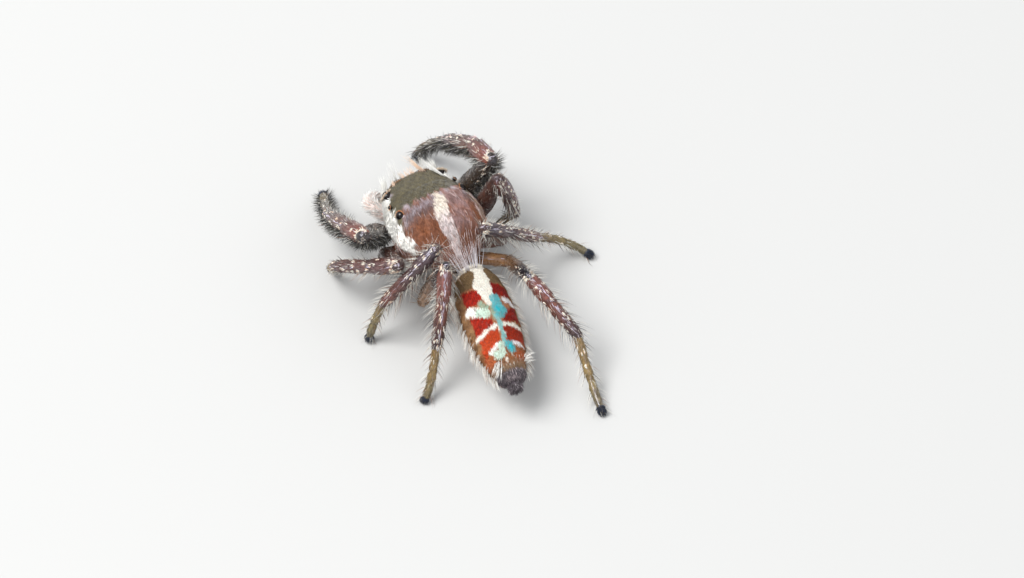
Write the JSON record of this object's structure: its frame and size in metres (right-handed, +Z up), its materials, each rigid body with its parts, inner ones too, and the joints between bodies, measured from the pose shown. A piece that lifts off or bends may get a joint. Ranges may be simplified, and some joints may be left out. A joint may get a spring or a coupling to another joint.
{
  "type": "jumping spider",
  "caption": "Life-size still model of a slender male jumping spider, thyene benjamini, with a banded red, white and turquoise abdomen and fringed front legs.",
  "frame": {"origin": "middle of the model's bounding box, on the floor it stands on", "axes": "the head faces -Y, the spider's left is +X, and +Z is up"},
  "size_m": [0.0064, 0.0096, 0.0029],
  "materials": {
    "carapace": "chestnut and olive skin under short hair, with cream hair bands",
    "underside": "dull brown skin with pale hair",
    "abdomen": "red blocks with cream bars and a turquoise scale band, short hair",
    "spinnerets": "dark grey-purple skin with hair",
    "eye": "polished black lens",
    "jaw": "smooth dark red-brown shell with pale hair",
    "palp": "brown skin under long white hair",
    "leg": "glossy dark red-brown shell with a lilac sheen, cream scale spots and bristles",
    "foot": "amber shell that ends in a blue-black claw tuft"
  },
  "bodies": {
    "root": {"carapace": "carapace", "sternum": "underside", "pedicel": "underside", "abdomen": "abdomen", "spinnerets": "spinnerets", "chelicera_l": "jaw", "eye_front_middle_l": "eye", "eye_front_side_l": "eye", "eye_rear_middle_l": "eye", "eye_rear_side_l": "eye", "palp_l_arm": "palp", "palp_l_tip": "palp", "leg_1_l_coxa": "leg", "leg_1_l_femur": "leg", "leg_1_l_patella": "leg", "leg_1_l_tibia": "leg", "leg_1_l_foot": "foot", "leg_2_l_coxa": "leg", "leg_2_l_femur": "leg", "leg_2_l_patella": "leg", "leg_2_l_tibia": "leg", "leg_2_l_foot": "foot", "leg_3_l_coxa": "leg", "leg_3_l_femur": "leg", "leg_3_l_patella": "leg", "leg_3_l_tibia": "leg", "leg_3_l_foot": "foot", "leg_4_l_coxa": "leg", "leg_4_l_femur": "leg", "leg_4_l_patella": "leg", "leg_4_l_tibia": "leg", "leg_4_l_foot": "foot", "chelicera_r": "jaw", "eye_front_middle_r": "eye", "eye_front_side_r": "eye", "eye_rear_middle_r": "eye", "eye_rear_side_r": "eye", "palp_r_arm": "palp", "palp_r_tip": "palp", "leg_1_r_coxa": "leg", "leg_1_r_femur": "leg", "leg_1_r_patella": "leg", "leg_1_r_tibia": "leg", "leg_1_r_foot": "foot", "leg_2_r_coxa": "leg", "leg_2_r_femur": "leg", "leg_2_r_patella": "leg", "leg_2_r_tibia": "leg", "leg_2_r_foot": "foot", "leg_3_r_coxa": "leg", "leg_3_r_femur": "leg", "leg_3_r_patella": "leg", "leg_3_r_tibia": "leg", "leg_3_r_foot": "foot", "leg_4_r_coxa": "leg", "leg_4_r_femur": "leg", "leg_4_r_patella": "leg", "leg_4_r_tibia": "leg", "leg_4_r_foot": "foot"}
  },
  "joints": []
}
